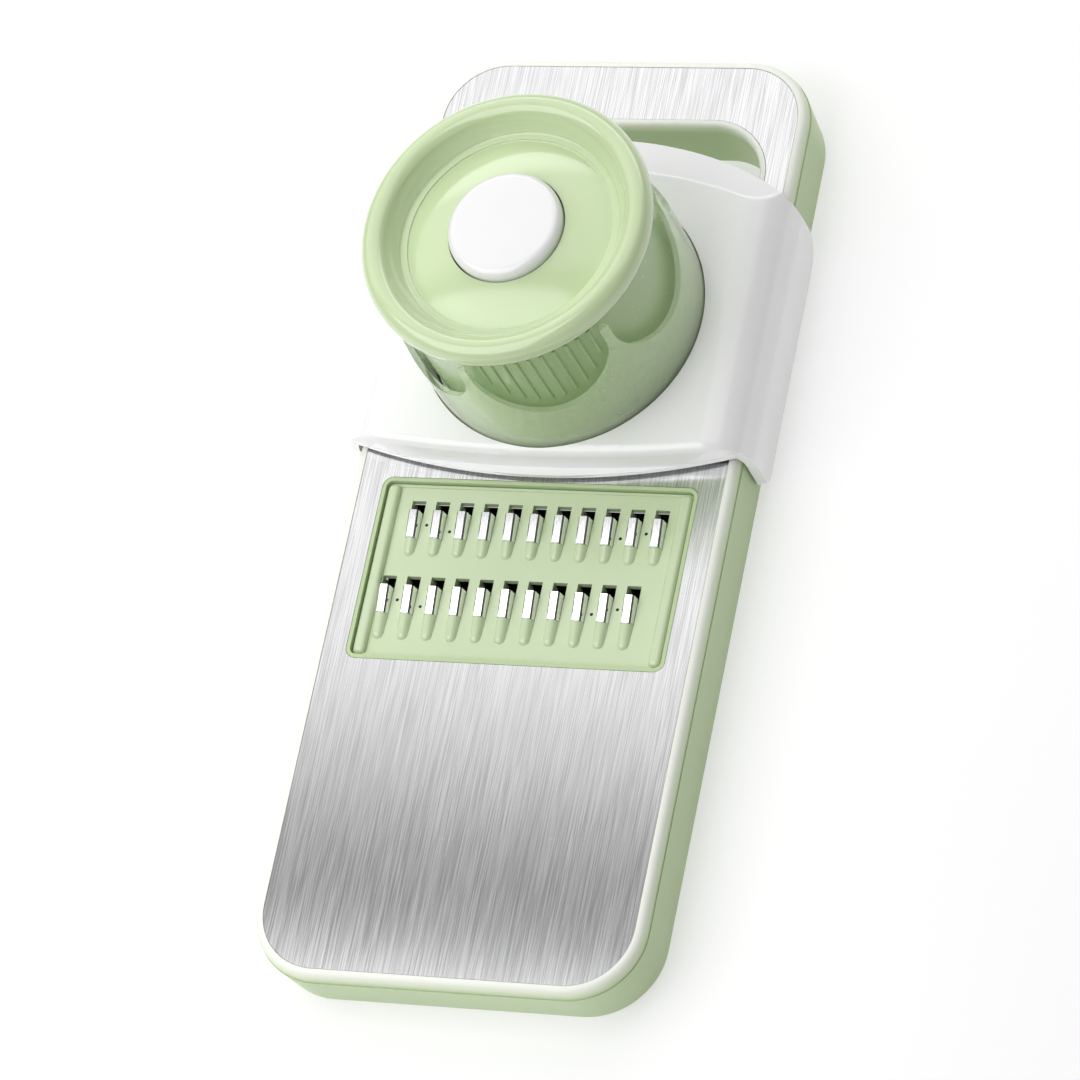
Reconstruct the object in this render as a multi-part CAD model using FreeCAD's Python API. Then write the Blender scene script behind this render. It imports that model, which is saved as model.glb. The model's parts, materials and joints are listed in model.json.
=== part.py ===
"""Handheld mandoline slicer with a sliding food guard and a drop-out julienne blade cartridge.

Frame: origin at the middle of the footprint on the surface it stands on, +Z up,
+Y along the board towards the handle, +X across it. Millimetres.
"""
import FreeCAD, Part
import math
import os

V = FreeCAD.Vector

# ---------------------------------------------------------------- driving dimensions
# board
PANEL_W = 110.0            # steel panel width
PANEL_L = 287.6            # steel panel length
PANEL_R = 18.0             # steel panel corner radius
PANEL_T = 1.0              # steel sheet thickness
SEAM = 0.15                # gap between the steel and the moulding round it
RIM_W = 2.8                # rounded rim outside the panel
RIM_PROUD = 0.15           # rim height over the steel
RIM_ROUND = 2.5            # rounding of the rim
CREASE_DROP = 3.9          # crease below the panel's top
CREASE_STEP = 0.3          # side wall stands out of the rim by this at the crease
END_TAPER = 2.0            # how far each end wall leans in at the bottom
BOARD_H = 20.1             # panel top over the underside of the board
WALL = 3.0                 # side wall of the board
DECK = 2.2                 # deck under the panel
FOOT_H = 1.0               # feet under the board
FOOT_R = 5.5
FOOT_SINK = 0.8            # depth of each foot's seat in its cover
FOOT_X = 40.0
FOOT_INSET = 12.0          # foot centre from the end of the panel
FOOT_ROUND = 0.5

# handle slot
SLOT_W = 93.2
SLOT_L = 36.3
SLOT_R = 17.0
SLOT_END = 19.4            # slot's far edge from the end of the panel
SLOT_RIM = 2.0
SLOT_RIM_ROUND = 1.5
SLOT_WALL = 2.4

# cartridge window
WINDOW_W = 93.8
WINDOW_L = 54.85
WINDOW_R = 2.1
WINDOW_Y = -20.8           # middle of the window
WINDOW_LIP = 1.1
CHAMBER_GAP = 0.9          # chamber wall clear of the cartridge flange
CHAMBER_WALL = 2.0

# underside covers
COVER_T = 2.0
COVER_GAP = 0.2
BOSS_R = 3.6
COVER_SCREW_R = 1.5
COVER_HEAD_R = 2.8
COVER_HEAD_H = 1.2
COVER_SCREW_L = 9.0
BOSS_INSET = 0.4           # screw bosses inside the board's side walls
BOSS_CLEAR = 0.6           # screw bosses off the walls across the board

# blade cartridge
TRAY_GAP = 0.35            # cartridge clear of the window
TRAY_DROP = 1.9            # cartridge floor below the panel's top
TRAY_T = 2.0
TRAY_EDGE = 0.8            # raised edge of the tray
TRAY_EDGE_H = 0.4
FLANGE_OUT = 2.6           # flange past the window, under the deck
FLANGE_T = 2.0
FLANGE_GAP = 0.3
RAIL_W = 3.7               # side rails of the tray
RAIL_H = 1.8
RAIL_END = 0.5             # end of a rail from the end of the tray
RAIL_EDGE = 0.2            # side of a rail from the side of the tray
RAIL_ROUND = 1.4
TEETH = 11
PITCH = 7.42
ROW_MIDDLE = -1.25         # middle of the two rows from the centre line
ROW_SHIFT = 1.95           # rows are staggered by twice this
TOOTH_TOP = 3.0            # top of a tooth, chamfers included
TOOTH_BASE = 3.8
TOOTH_L = 8.0
TOOTH_FRONT = 1.2          # cutting edge over the panel
TOOTH_BACK = -0.1          # back of the flat over the panel
BLADE_T = 0.5
TOOTH_FACET = 0.45         # chamfer beside the flat
SLOT_GAP_W = 4.2           # opening in front of a tooth
SLOT_GAP_L = 4.1
CUT_GAP = 0.1              # tray clear of the blade
UPPER_ROW_Y = -2.8         # cutting edge of the upper row
LOWER_ROW_Y = -26.6
UPPER_RAMP_L = 5.4
LOWER_RAMP_L = 7.9
RAMP_R = 2.0
RAMP_START = 0.1           # ramp top over the panel behind its tooth
RAMP_FALL = 0.9            # fall of the ramp to its nose
PIN_NEAR = 3.4             # outer pins behind the cutting edge
PIN_FAR = 5.2              # inner pins behind the cutting edge
STRIP_MARGIN = 3.9         # strip past its end teeth
WEB_L = 1.2                # strip kept whole behind each tooth
CLAMP_T = 1.6
CLAMP_BACK = 0.6           # clamp past the back of its strip
PIN_R = 0.5
PIN_INSET = 0.1            # pin head below the tray floor

# food guard
GUARD_CLEAR = 1.5          # guard over the panel
SIDE_CLEAR = 0.8           # flange off the board's side
FLANGE_W = 2.5
GUARD_FRONT_Y = 8.6        # front edge on the centre line
GUARD_BACK_Y = 117.6
FRONT_BOW = 9.4            # the front edge bows out by this between the guard's sides
BACK_BOW = 21.1
GUARD_TOP = 10.0           # guard's top over the panel
GUARD_FOLD = 14.0          # rounding from the top into the flanges
GUARD_ROUND = 3.0          # rounding of the top's front and back edges
LIP_T = 1.5                # thickness of the lip round the crown
LIP_W = 0.25               # width of the lip at its narrowest
CROWN_FRONT_Y = 11.1       # foot of the crown's front slope on the centre line
CROWN_FRONT_BOW = 4.5
CROWN_FRONT_SLOPE = 1.5    # the slope's run along Y
CROWN_BACK_Y = 104.4       # head of the crown's back slope on the centre line
CROWN_BACK_BOW = 14.2
BACK_WALL_RUN = 4.4        # wall of the back slope, measured along Y
GUARD_WALL = 2.4
FLANGE_BOTTOM = 18.2       # flange reaches this far below the panel's top
FLANGE_FRONT_ROUND = 3.0
FLANGE_BACK_ROUND = 8.0
RUNNER_T = 0.5
RUNNER_H = 7.0
RUNNER_MARGIN = 12.0
RUNNER_ROUND = 1.5

# tower sleeve
TOWER_Y = 56.4
SLEEVE_R = 42.2
SLEEVE_WALL = 1.6
SLEEVE_TOP = 54.5          # above the panel's top
SLEEVE_FLANGE = 3.4
SLEEVE_FLANGE_T = 1.8
SLEEVE_GAP = 0.35          # sleeve in the guard's hole
FLANGE_FLAT_GAP = 1.2      # sleeve flange cut back from the guard's front wall
SCALLOPS = 6
SCALLOP_START = -10.0      # first scallop, in degrees from +X
SCALLOP_R = 19.8
SCALLOP_LOW = 29.0         # lowest point of a scallop over the panel
RING_T = 1.2
EAR_OUT = 6.0              # screw circle outside the sleeve
EAR_R = 4.0
EAR_ANGLE = 25.0
RING_SCREW_R = 1.0
RING_SCREW_L = 4.2
SCREW_END_GAP = 0.2        # every screw's hole is deeper than the screw by this

# pusher
BARREL_GAP = 1.8           # barrel in the sleeve
BARREL_WALL = 2.2
BARREL_BOTTOM = 8.8        # above the panel's top
BARREL_TOP = 54.2
BARREL_SHELF = 2.0
SHELF_INNER_R = 27.0
RIB_R = 0.6                # grip ribs on the barrel
RIB_STEP = 5.5             # degrees
RIB_COUNT = 10
RIB_SCALLOP = -1           # the grip ribs fill this scallop, counted from the first
RIB_LIFT = 1.6             # rib ends above the scallop's edge
KNOB_R = 42.6
KNOB_BULGE = 61.1          # height of the widest point
KNOB_BEAD = 3.9            # radius of the rim bead
DISH_R = 31.8
DISH_FLOOR = 57.4          # edge of the dish's floor
DISH_CROWN = 3.6           # the floor rises by this to the button
DISH_LEDGE = 1.5           # ledge round the floor
DISH_STEP = 0.45           # ledge over the floor's edge
KNOB_WALL = 2.4
KNOB_SKIRT = 56.5          # underside of the knob's rim
KNOB_LEAN = 35.0           # the dish leaves the bead at this angle
KNOB_TUCK = 1.1            # the knob's side tucks in under the widest point
KNOB_TUCK_H = 3.2
KNOB_UNDER = 3.6           # and again at its underside
KNOB_FIT = 0.2             # knob's spigot inside the barrel's wall
DISH_BLEND = 0.75          # blend from the slope of the dish into the ledge
SPIKE_PLATE_T = 2.2
SPIKE_R = 1.1
SPIKE_TIP = 2.6            # spike points over the panel
SPIKE_TAPER = 3.0
SPIKE_POINT_R = 0.15
SPIKE_PLATE_GAP = 0.1      # plate in the barrel
SPIKE_RINGS = ((13.0, 6), (27.0, 12))
PLATE_SCREWS = 4
PLATE_BOSS_R = 3.0
PLATE_BOSS_SINK = 0.4      # boss let into the barrel's wall
PLATE_BOSS_L = 8.0
PLATE_SCREW_L = 7.0
SMALL_SCREW_R = 1.0
SMALL_HEAD_R = 1.9
SMALL_HEAD_H = 1.0
CAP_SCREWS = 4
CAP_SCREW_CIRCLE = 31.0
CAP_SCREW_L = 3.4
CAP_BOSS_R = 3.0

# button and food ejector
BUTTON_R = 16.8
BUTTON_GAP = 0.4
BUTTON_TOP = 64.8
BUTTON_ROUND = 2.6
BUTTON_DOME = 0.5
BUTTON_SKIRT = 54.0        # bottom of the button's skirt
BUTTON_WALL = 2.0
CUP_FLOOR = 44.5
STEM_R = 4.0
STEM_GAP = 0.3
STEM_HEAD_R = 6.5
STEM_HEAD_T = 2.0
EJECTOR_T = 1.6
EJECTOR_GAP = 0.3          # ejector under the spike plate
EJECTOR_EDGE_GAP = 1.0     # ejector inside the sleeve
SPIKE_HOLE_GAP = 0.35
SPRING_R = 5.7             # to the middle of the wire
SPRING_WIRE = 0.6          # radius of the wire
SPRING_TURNS = 5
SPRING_GAP = 0.1           # spring ends clear of the cup and the stem's head
STEM_SCREW_L = 8.0

# ---------------------------------------------------------------- derived places
Z_BOTTOM = FOOT_H
Z_PANEL = FOOT_H + BOARD_H
Z_DECK_TOP = Z_PANEL - PANEL_T
Z_DECK = Z_DECK_TOP - DECK
Z_CREASE = Z_PANEL - CREASE_DROP
HALF_W = PANEL_W / 2
HALF_L = PANEL_L / 2
BOARD_HX = HALF_W + RIM_W + CREASE_STEP
BOARD_HY = HALF_L + RIM_W + CREASE_STEP
BOARD_R = PANEL_R + RIM_W + CREASE_STEP

SLOT_HX = SLOT_W / 2
SLOT_HY = SLOT_L / 2
SLOT_Y = HALF_L - SLOT_END - SLOT_HY
WINDOW_HX = WINDOW_W / 2
WINDOW_HY = WINDOW_L / 2

Z_TRAY = Z_PANEL - TRAY_DROP
Z_TRAY_UNDER = Z_TRAY - TRAY_T
Z_FLANGE = Z_DECK - FLANGE_GAP
FLANGE_HX = WINDOW_HX + FLANGE_OUT
FLANGE_HY = WINDOW_HY + FLANGE_OUT
CHAMBER_HX = FLANGE_HX + CHAMBER_GAP
CHAMBER_HY = FLANGE_HY + CHAMBER_GAP
Z_STRIP = Z_TRAY_UNDER - BLADE_T
Z_CLAMP = Z_STRIP - CLAMP_T
UPPER_SHIFT = ROW_MIDDLE + ROW_SHIFT
LOWER_SHIFT = ROW_MIDDLE - ROW_SHIFT

GUARD_HX = BOARD_HX + SIDE_CLEAR + FLANGE_W
GUARD_INNER_HX = BOARD_HX + SIDE_CLEAR
Z_GUARD = Z_PANEL + GUARD_CLEAR
Z_LIP = Z_GUARD + LIP_T
Z_GUARD_TOP = Z_PANEL + GUARD_TOP
Z_GUARD_ROOF = Z_GUARD_TOP - GUARD_WALL
Z_GUARD_LOW = Z_PANEL - FLANGE_BOTTOM
GUARD_SIDE_FRONT = GUARD_FRONT_Y + FRONT_BOW
GUARD_SIDE_BACK = GUARD_BACK_Y - BACK_BOW
CROWN_FRONT_ARC = (GUARD_HX ** 2 + CROWN_FRONT_BOW ** 2) / (2 * CROWN_FRONT_BOW)
CROWN_BACK_ARC = (GUARD_HX ** 2 + CROWN_BACK_BOW ** 2) / (2 * CROWN_BACK_BOW)
FLANGE_FLAT_Y = CROWN_FRONT_Y + CROWN_FRONT_SLOPE + GUARD_WALL + FLANGE_FLAT_GAP
SLEEVE_IN = SLEEVE_R - SLEEVE_WALL
HOLE_R = SLEEVE_R + SLEEVE_GAP
Z_SLEEVE_LOW = Z_GUARD_ROOF - SLEEVE_FLANGE_T
Z_RING_LOW = Z_SLEEVE_LOW - RING_T
EAR_CIRCLE = SLEEVE_R + EAR_OUT
EAR_ANGLES = (EAR_ANGLE, 180 - EAR_ANGLE, 180 + EAR_ANGLE, 360 - EAR_ANGLE)

BARREL_R = SLEEVE_IN - BARREL_GAP
PLATE_SCREW_CIRCLE = BARREL_R - BARREL_WALL - PLATE_BOSS_R + PLATE_BOSS_SINK
Z_BARREL = Z_PANEL + BARREL_BOTTOM
Z_BARREL_TOP = Z_PANEL + BARREL_TOP
Z_SPIKE_PLATE = Z_BARREL
Z_EJECTOR_TOP = Z_SPIKE_PLATE - EJECTOR_GAP
Z_DISH = Z_PANEL + DISH_FLOOR
Z_CUP = Z_PANEL + CUP_FLOOR
CUP_R = BUTTON_R + BUTTON_GAP
Z_BUTTON_TOP = Z_PANEL + BUTTON_TOP
AXIS = V(0, TOWER_Y, 0)


# ---------------------------------------------------------------- helpers
def rounded_wire(hx, hy, r, z, cy=0.0):
    """Closed rounded rectangle about (0, cy) at height z."""
    k = r * math.sqrt(0.5)
    edges = []
    for sx, sy in ((1, 1), (-1, 1), (-1, -1), (1, -1)):
        cx, ccy = sx * (hx - r), cy + sy * (hy - r)
        on_x = V(cx + sx * r, ccy, z)
        on_y = V(cx, ccy + sy * r, z)
        mid = V(cx + sx * k, ccy + sy * k, z)
        first, last = (on_x, on_y) if sx * sy > 0 else (on_y, on_x)
        if edges:
            edges.append(Part.LineSegment(edges[-1].Vertexes[-1].Point, first).toShape())
        edges.append(Part.Arc(first, mid, last).toShape())
    edges.append(Part.LineSegment(edges[-1].Vertexes[-1].Point, edges[0].Vertexes[0].Point).toShape())
    return Part.Wire(edges)


def prism(hx, hy, r, z0, z1, cy=0.0):
    """Upright block with rounded corners."""
    return Part.Face(rounded_wire(hx, hy, r, z0, cy)).extrude(V(0, 0, z1 - z0))


def block(x0, x1, y0, y1, z0, z1):
    return Part.makeBox(x1 - x0, y1 - y0, z1 - z0, V(x0, y0, z0))


def disc(r, z0, z1, centre=AXIS):
    return Part.makeCylinder(r, z1 - z0, V(centre.x, centre.y, z0))


def tube(r_out, r_in, z0, z1, centre=AXIS):
    return disc(r_out, z0, z1, centre).cut(disc(r_in, z0 - 1, z1 + 1, centre))


def polar(radius, degrees, centre=AXIS):
    a = math.radians(degrees)
    return V(centre.x + radius * math.cos(a), centre.y + radius * math.sin(a), 0)


def ring_points(radius, count, start=0.0):
    return [polar(radius, start + 360.0 * i / count) for i in range(count)]


def fuse_all(shapes):
    return shapes[0].multiFuse(shapes[1:]) if len(shapes) > 1 else shapes[0]


def cut_all(shape, tools):
    return shape.cut(tools) if tools else shape


def round_edges(shape, radius, wanted):
    """Fillet the edges for which wanted(edge) is true."""
    return shape.makeFillet(radius, [e for e in shape.Edges if wanted(e)])


def lies_at(z):
    return lambda e: abs(e.BoundBox.ZMin - z) < 1e-3 and abs(e.BoundBox.ZMax - z) < 1e-3


def countersink(head_r, head_h, shank_r, length, at, z_head):
    """The hole that a screw driven upwards from z_head seats in."""
    base = V(at.x, at.y, z_head)
    return Part.makeCone(head_r, shank_r, head_h, base).fuse(Part.makeCylinder(shank_r, length, base))


def countersunk(head_r, head_h, shank_r, length, at, z_head):
    """Screw driven upwards, with a conical head whose flat is at z_head."""
    side = 0.5 * head_r
    recess = Part.makeBox(side, side, 0.5 * head_h, V(at.x - side / 2, at.y - side / 2, z_head))
    return countersink(head_r, head_h, shank_r, length, at, z_head).cut(recess)


# ---------------------------------------------------------------- board
def cover_screw_points():
    """Screw places: four in the lower cover, four in the upper one."""
    x = BOARD_HX - WALL - BOSS_R - BOSS_INSET
    low_end = -BOARD_HY + WALL + BOARD_R * 0.75
    low_top = WINDOW_Y - CHAMBER_HY - CHAMBER_WALL - BOSS_R - BOSS_CLEAR
    up_low = WINDOW_Y + CHAMBER_HY + CHAMBER_WALL + BOSS_R + BOSS_CLEAR
    up_end = SLOT_Y - SLOT_HY - SLOT_WALL - BOSS_R - BOSS_CLEAR
    lower = [V(s * x, y, 0) for s in (-1, 1) for y in (low_end, low_top)]
    upper = [V(s * x, y, 0) for s in (-1, 1) for y in (up_low, up_end)]
    return lower, upper


def foot_points():
    y = HALF_L - FOOT_INSET
    return [V(sx * FOOT_X, sy * y, 0) for sx in (-1, 1) for sy in (-1, 1)]


def cavity(extra, z0, z1):
    """Inside of the hollow board, grown by extra (negative shrinks it)."""
    inside = prism(BOARD_HX - WALL + extra, BOARD_HY - END_TAPER - WALL + extra,
                   BOARD_R - WALL + extra, z0, z1)
    slot = prism(SLOT_HX + SLOT_WALL - extra, SLOT_HY + SLOT_WALL - extra,
                 SLOT_R + SLOT_WALL - extra, z0, z1, SLOT_Y)
    chamber = prism(CHAMBER_HX + CHAMBER_WALL - extra, CHAMBER_HY + CHAMBER_WALL - extra,
                    WINDOW_R + CHAMBER_WALL - extra, z0, z1, WINDOW_Y)
    side_gap = block(-BOARD_HX, BOARD_HX, WINDOW_Y - CHAMBER_HY - CHAMBER_WALL + extra,
                     WINDOW_Y + CHAMBER_HY + CHAMBER_WALL - extra, z0, z1)
    return inside.cut(slot).cut(chamber).cut(side_gap)


def board_frame():
    skirt = Part.makeLoft([rounded_wire(BOARD_HX, BOARD_HY - END_TAPER, BOARD_R, Z_BOTTOM),
                           rounded_wire(BOARD_HX, BOARD_HY, BOARD_R, Z_CREASE)], True, True)
    z_rim = Z_PANEL + RIM_PROUD
    rim = prism(BOARD_HX - CREASE_STEP, BOARD_HY - CREASE_STEP, BOARD_R - CREASE_STEP, Z_CREASE - 1, z_rim)
    rim = round_edges(rim, RIM_ROUND, lies_at(z_rim))
    well = prism(HALF_W + SEAM, HALF_L + SEAM, PANEL_R + SEAM, Z_DECK_TOP, z_rim + 1)
    body = skirt.fuse(rim).cut(well)

    slot_rim = prism(SLOT_HX + SLOT_RIM, SLOT_HY + SLOT_RIM, SLOT_R + SLOT_RIM, Z_DECK, z_rim, SLOT_Y)
    lip = prism(WINDOW_HX + WINDOW_LIP, WINDOW_HY + WINDOW_LIP, WINDOW_R + WINDOW_LIP, Z_DECK, Z_PANEL,
                WINDOW_Y)
    body = body.fuse(slot_rim).fuse(lip)
    body = body.cut(cavity(0, Z_BOTTOM - 1, Z_DECK))
    body = body.cut(prism(SLOT_HX, SLOT_HY, SLOT_R, Z_BOTTOM - 1, z_rim + 1, SLOT_Y))
    body = body.cut(prism(WINDOW_HX, WINDOW_HY, WINDOW_R, Z_BOTTOM - 1, z_rim + 1, WINDOW_Y))
    body = body.cut(prism(CHAMBER_HX, CHAMBER_HY, WINDOW_R + FLANGE_OUT, Z_BOTTOM - 1, Z_DECK, WINDOW_Y))

    def slot_mouth(e):
        box = e.BoundBox
        return lies_at(z_rim)(e) and abs(box.XMin) <= SLOT_HX + 0.01 and abs(box.XMax) <= SLOT_HX + 0.01 \
            and box.YMin >= SLOT_Y - SLOT_HY - 0.01 and box.YMax <= SLOT_Y + SLOT_HY + 0.01

    body = round_edges(body, SLOT_RIM_ROUND, slot_mouth)
    lower, upper = cover_screw_points()
    for at in lower + upper:
        body = body.fuse(disc(BOSS_R, Z_BOTTOM + COVER_T, Z_DECK + 0.5, at))
        body = body.cut(disc(COVER_SCREW_R, Z_BOTTOM, Z_BOTTOM + COVER_SCREW_L + SCREW_END_GAP, at))
    return body


def steel_panel():
    sheet = prism(HALF_W, HALF_L, PANEL_R, Z_DECK_TOP, Z_PANEL)
    slot = prism(SLOT_HX + SLOT_RIM + SEAM, SLOT_HY + SLOT_RIM + SEAM, SLOT_R + SLOT_RIM + SEAM,
                 Z_DECK_TOP - 1, Z_PANEL + 1, SLOT_Y)
    window = prism(WINDOW_HX + WINDOW_LIP + SEAM, WINDOW_HY + WINDOW_LIP + SEAM, WINDOW_R + WINDOW_LIP + SEAM,
                   Z_DECK_TOP - 1, Z_PANEL + 1, WINDOW_Y)
    return sheet.cut(slot).cut(window)


def underside_cover(screws, side):
    """Cover over the hollow below (side -1) or above (side +1) the blade chamber."""
    plate = cavity(-COVER_GAP, Z_BOTTOM, Z_BOTTOM + COVER_T)
    far = 2 * BOARD_HY
    y0, y1 = (WINDOW_Y, far) if side > 0 else (-far, WINDOW_Y)
    plate = plate.common(block(-far, far, y0, y1, Z_BOTTOM - 1, Z_BOTTOM + COVER_T + 1))
    for at in screws:
        plate = plate.cut(countersink(COVER_HEAD_R, COVER_HEAD_H, COVER_SCREW_R, COVER_T + 1, at, Z_BOTTOM))
    for at in foot_points():
        if at.y * side > 0:
            plate = plate.cut(disc(FOOT_R, Z_BOTTOM - 1, Z_BOTTOM + FOOT_SINK, at))
    return plate


def cover_screws():
    lower, upper = cover_screw_points()
    head = COVER_HEAD_R, COVER_HEAD_H
    return Part.makeCompound([countersunk(*head, COVER_SCREW_R, COVER_SCREW_L, at, Z_BOTTOM)
                              for at in lower + upper])


def foot_pads():
    pads = [disc(FOOT_R, 0, Z_BOTTOM + FOOT_SINK, at) for at in foot_points()]
    return Part.makeCompound([round_edges(p, FOOT_ROUND, lies_at(0)) for p in pads])


# ---------------------------------------------------------------- blade cartridge
def tooth_places(shift):
    return [shift + (i - (TEETH - 1) / 2) * PITCH for i in range(TEETH)]


def tooth(inset, x, y0, y1, edge_y, z_foot):
    """Tooth from y0 to y1, inset from its outside; its flat climbs to the cutting edge."""
    def section(y):
        climb = (y - edge_y + TOOTH_L) / TOOTH_L
        z_top = Z_PANEL + TOOTH_BACK + (TOOTH_FRONT - TOOTH_BACK) * climb - inset
        top, base = TOOTH_TOP / 2 - 0.6 * inset, TOOTH_BASE / 2 - inset
        left = [(-base, z_foot), (-base, Z_TRAY), (-top, z_top - TOOTH_FACET), (TOOTH_FACET - top, z_top)]
        points = [V(x + dx, y, z) for dx, z in left + [(-dx, z) for dx, z in reversed(left)]]
        return Part.makePolygon(points + points[:1])

    return Part.makeLoft([section(y0), section(y1)], True, True)


def blade_row(shift, edge_y):
    """One stainless strip with its row of pressed-up teeth."""
    xs = tooth_places(shift)
    y0 = edge_y - TOOTH_L
    strip = block(xs[0] - STRIP_MARGIN, xs[-1] + STRIP_MARGIN, y0, edge_y, Z_STRIP, Z_TRAY_UNDER)
    row = fuse_all([strip] + [tooth(0, x, y0, edge_y, edge_y, Z_STRIP) for x in xs])
    # a web behind each tooth keeps the strip in one piece
    web_y = y0 + WEB_L
    above = block(-HALF_W, HALF_W, y0 - 2, edge_y + 2, Z_TRAY_UNDER, Z_PANEL + GUARD_CLEAR)
    in_front = block(-HALF_W, HALF_W, web_y, edge_y + 2, Z_STRIP - 2, Z_TRAY_UNDER + 0.01)
    cuts = []
    for x in xs:
        hole = tooth(BLADE_T, x, y0 - 1, edge_y + 1, edge_y, Z_STRIP - 1)
        cuts += [hole.common(above), hole.common(in_front)]
    cuts += [disc(PIN_R, Z_STRIP - 1, Z_TRAY_UNDER + 1, at) for at in pin_points(shift, edge_y)]
    return cut_all(row, cuts)


def pin_points(shift, edge_y):
    """Pins stand between the two outer pairs of teeth at each end of a row."""
    xs = tooth_places(shift)
    gaps = [(a + b) / 2 for a, b in zip(xs, xs[1:])]
    return [V(gaps[0], edge_y - PIN_NEAR, 0), V(gaps[1], edge_y - PIN_FAR, 0),
            V(gaps[-2], edge_y - PIN_FAR, 0), V(gaps[-1], edge_y - PIN_NEAR, 0)]


def ramp(x, back_y, length):
    """Rounded ramp behind a tooth, falling to its nose."""
    back = V(x, back_y + RAMP_R, Z_PANEL + RAMP_START - RAMP_R)
    nose = V(x, back_y - length + RAMP_R, back.z - RAMP_FALL)
    body = Part.makeCylinder(RAMP_R, (back - nose).Length, nose, back - nose)
    solid = body.fuse(Part.makeSphere(RAMP_R, nose))
    return solid.common(block(x - 2 * RAMP_R, x + 2 * RAMP_R, nose.y - 2 * RAMP_R, back_y,
                              Z_TRAY - 0.5, Z_PANEL + RAMP_R))


def rail(x0, x1):
    """Rounded rail along one side of the tray."""
    hy = WINDOW_HY - TRAY_GAP - RAIL_END
    body = block(x0, x1, WINDOW_Y - hy, WINDOW_Y + hy, Z_TRAY - 0.5, Z_TRAY + RAIL_H)
    return round_edges(body, RAIL_ROUND, lambda e: e.BoundBox.ZMin > Z_TRAY or e.BoundBox.ZLength > RAIL_H)


def blade_tray():
    hx, hy = WINDOW_HX - TRAY_GAP, WINDOW_HY - TRAY_GAP
    r = WINDOW_R - TRAY_GAP
    floor = prism(hx, hy, r, Z_TRAY_UNDER, Z_TRAY, WINDOW_Y)
    neck = prism(hx, hy, r, Z_FLANGE - FLANGE_T, Z_TRAY, WINDOW_Y).cut(
        prism(hx - 2.0, hy - 2.0, r, Z_FLANGE - FLANGE_T - 1, Z_TRAY_UNDER, WINDOW_Y))
    flange = prism(FLANGE_HX, FLANGE_HY, r + FLANGE_OUT, Z_FLANGE - FLANGE_T, Z_FLANGE, WINDOW_Y).cut(
        prism(hx - 2.0, hy - 2.0, r, Z_FLANGE - FLANGE_T - 1, Z_FLANGE + 1, WINDOW_Y))
    edge = prism(hx, hy, r, Z_TRAY - 0.1, Z_TRAY + TRAY_EDGE_H, WINDOW_Y).cut(
        prism(hx - TRAY_EDGE, hy - TRAY_EDGE, r - TRAY_EDGE, Z_TRAY - 1, Z_PANEL + 1, WINDOW_Y))
    rail_out = hx - RAIL_EDGE
    parts = [floor, neck, flange, edge, rail(-rail_out, RAIL_W - rail_out), rail(rail_out - RAIL_W, rail_out)]
    cuts = []
    rows = ((UPPER_SHIFT, UPPER_ROW_Y, UPPER_RAMP_L), (LOWER_SHIFT, LOWER_ROW_Y, LOWER_RAMP_L))
    for shift, edge_y, ramp_l in rows:
        back_y = edge_y - TOOTH_L - CUT_GAP
        for x in tooth_places(shift):
            parts.append(ramp(x, back_y, ramp_l))
            half = TOOTH_BASE / 2 + CUT_GAP
            cuts.append(block(x - half, x + half, back_y, edge_y + CUT_GAP, Z_TRAY_UNDER - 1, Z_PANEL + 1))
            cuts.append(block(x - SLOT_GAP_W / 2, x + SLOT_GAP_W / 2, edge_y - 1, edge_y + SLOT_GAP_L,
                              Z_TRAY_UNDER - 1, Z_PANEL))
        for at in pin_points(shift, edge_y):
            cuts.append(disc(PIN_R, Z_TRAY_UNDER - 1, Z_PANEL, at))
    return cut_all(fuse_all(parts), cuts)


def blade_clamp(shift, edge_y):
    """Comb under a strip that traps it against the tray, open below and in front of each tooth."""
    xs = tooth_places(shift)
    y0, y1 = edge_y - TOOTH_L, edge_y + SLOT_GAP_L
    bar = block(xs[0] - STRIP_MARGIN, xs[-1] + STRIP_MARGIN, y0 - CLAMP_BACK, y1, Z_CLAMP, Z_STRIP)
    cuts = [block(x - SLOT_GAP_W / 2, x + SLOT_GAP_W / 2, y0 + WEB_L, y1 + 1, Z_CLAMP - 1, Z_STRIP + 1)
            for x in xs]
    cuts += [disc(PIN_R, Z_CLAMP - 1, Z_STRIP + 1, at) for at in pin_points(shift, edge_y)]
    return cut_all(bar, cuts)


def blade_pins():
    places = pin_points(UPPER_SHIFT, UPPER_ROW_Y) + pin_points(LOWER_SHIFT, LOWER_ROW_Y)
    return Part.makeCompound([disc(PIN_R, Z_CLAMP, Z_TRAY - PIN_INSET, at) for at in places])


# ---------------------------------------------------------------- food guard
def guard_plan(inset, z0, z1):
    """Guard seen from above: straight sides, front and back edges bowed outwards and set in by inset."""
    a, b = V(-GUARD_HX, GUARD_SIDE_FRONT + inset, z0), V(GUARD_HX, GUARD_SIDE_FRONT + inset, z0)
    c, d = V(GUARD_HX, GUARD_SIDE_BACK - inset, z0), V(-GUARD_HX, GUARD_SIDE_BACK - inset, z0)
    outline = [Part.Arc(a, V(0, GUARD_FRONT_Y + inset, z0), b), Part.LineSegment(b, c),
               Part.Arc(c, V(0, GUARD_BACK_Y - inset, z0), d), Part.LineSegment(d, a)]
    return Part.Face(Part.Wire([e.toShape() for e in outline])).extrude(V(0, 0, z1 - z0))


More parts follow.
